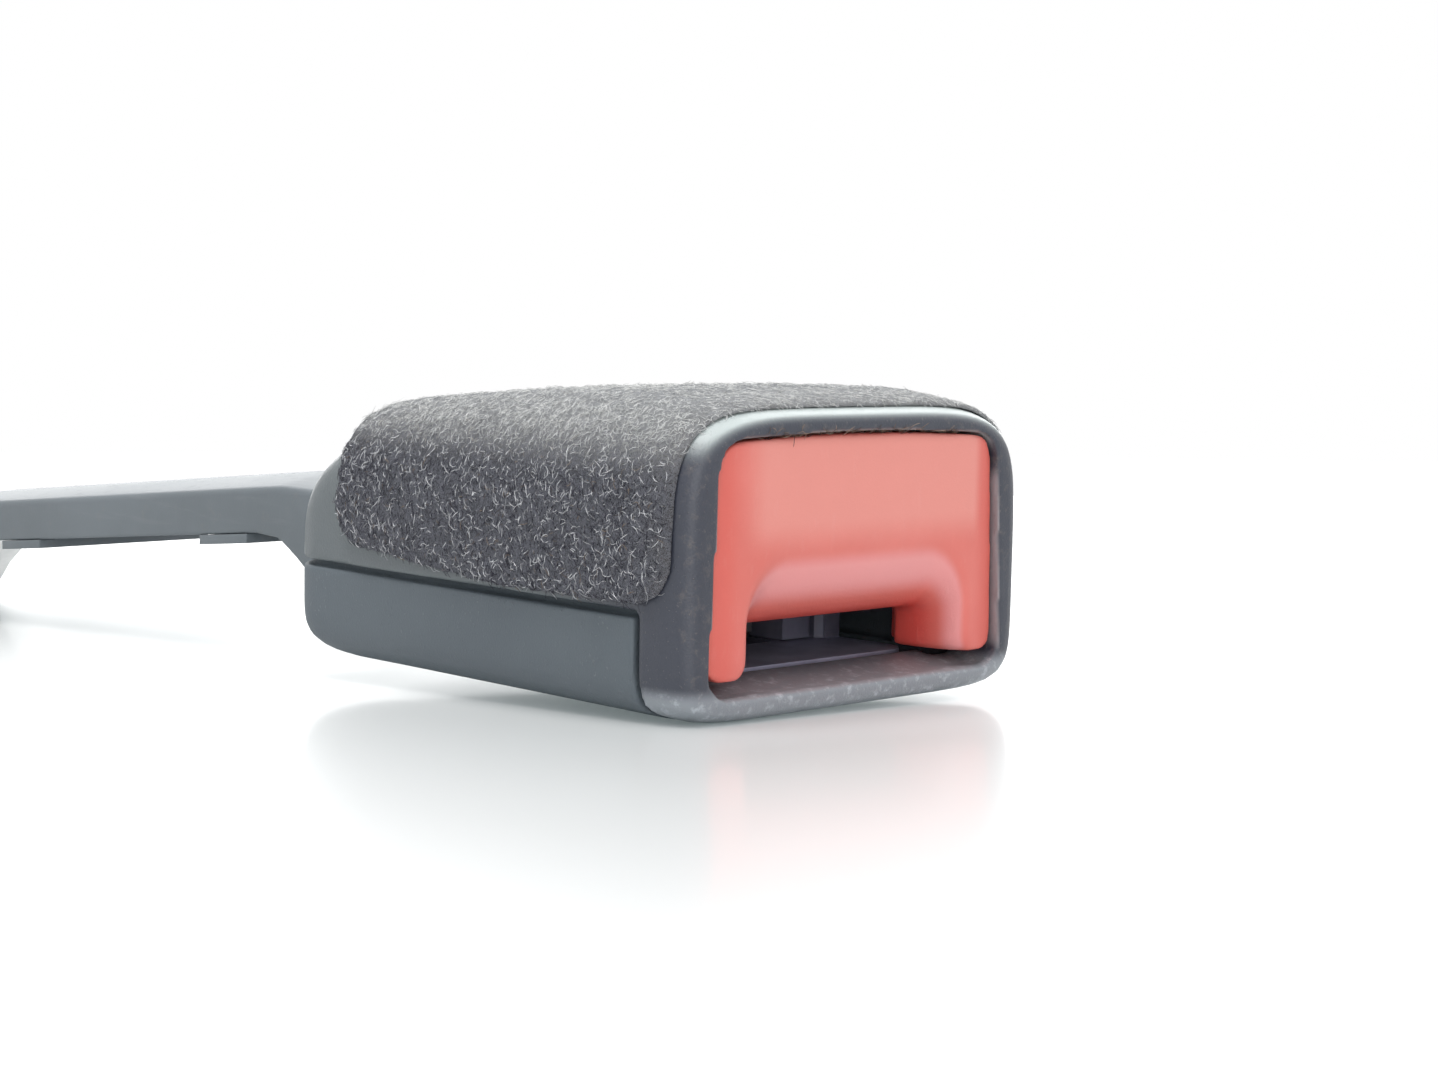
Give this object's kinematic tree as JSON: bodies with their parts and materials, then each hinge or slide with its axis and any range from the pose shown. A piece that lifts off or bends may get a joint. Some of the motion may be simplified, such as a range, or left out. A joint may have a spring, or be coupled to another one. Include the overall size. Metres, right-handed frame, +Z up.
{
  "type": "seat belt buckle",
  "caption": "End-release seat belt buckle with a felt-padded housing, sprung release button, latch and ejector, on a sleeved steel stalk with an anchor eye.",
  "frame": {"origin": "middle of the tongue slot's mouth, in the bezel's front plane and the middle plane of the tongue's path", "axes": "+X right when the slot is faced, +Y from the slot back along the stalk, +Z up towards the felt-covered roof"},
  "size_m": [0.0472, 0.212, 0.037],
  "materials": {
    "casing": "fine grained satin moulding",
    "felt": "short fleece with loose fibres",
    "button_red": "satin moulding",
    "frame_steel": "zinc plated",
    "hardened_steel": "hardened, oiled",
    "spring_steel": "drawn wire",
    "nylon": "natural nylon",
    "strap_steel": "zinc plated strip",
    "sleeve": "satin polypropylene"
  },
  "bodies": {
    "housing": {"upper_shell": "casing", "lower_shell": "casing", "felt_pad": "felt", "steel_frame": "frame_steel", "frame_bridge": "frame_steel", "latch_pivot_pin": "hardened_steel", "pivot_clip": "spring_steel", "spring_block": "nylon", "guide_rail_left": "nylon", "guide_rail_right": "nylon", "ejector_spring": "spring_steel", "latch_spring": "spring_steel", "button_spring_left": "spring_steel", "button_spring_right": "spring_steel", "anchor_strap": "strap_steel", "strap_rivet_left": "frame_steel", "strap_rivet_right": "frame_steel", "sleeve_top": "sleeve", "sleeve_base": "sleeve"},
    "button": {"release_button": "button_red"},
    "lock_bar": {"lock_bar": "hardened_steel", "lock_bar_bush_left": "nylon", "lock_bar_bush_right": "nylon"},
    "latch": {"latch_plate": "hardened_steel"},
    "ejector": {"ejector": "nylon"}
  },
  "joints": [
    {"name": "button_press", "type": "slide", "parent": "housing", "child": "button", "axis": [0, 1, 0], "range_m": [0, 0.005], "stiffness_N_per_m": 600, "springref_m": -0.004, "deforming": ["button_spring_left", "button_spring_right"]},
    {"name": "lock_bar_slide", "type": "slide", "parent": "housing", "child": "lock_bar", "axis": [0, 1, 0], "range_m": [0, 0.00502]},
    {"name": "latch_lift", "type": "hinge", "parent": "housing", "child": "latch", "pos_m": [0, 0.042, 0.0044], "axis": [-1, 0, 0], "range_deg": [0, 9.03], "deforming": ["latch_spring"]},
    {"name": "ejector_slide", "type": "slide", "parent": "housing", "child": "ejector", "axis": [0, 1, 0], "range_m": [0, 0.007], "stiffness_N_per_m": 300, "springref_m": -0.003, "deforming": ["ejector_spring"]}
  ],
  "couplings": [
    {"joint": "lock_bar_slide", "follows": "button_press", "ratio": 1},
    {"joint": "latch_lift", "follows": "button_press", "rad_per_m": 31.416}
  ]
}
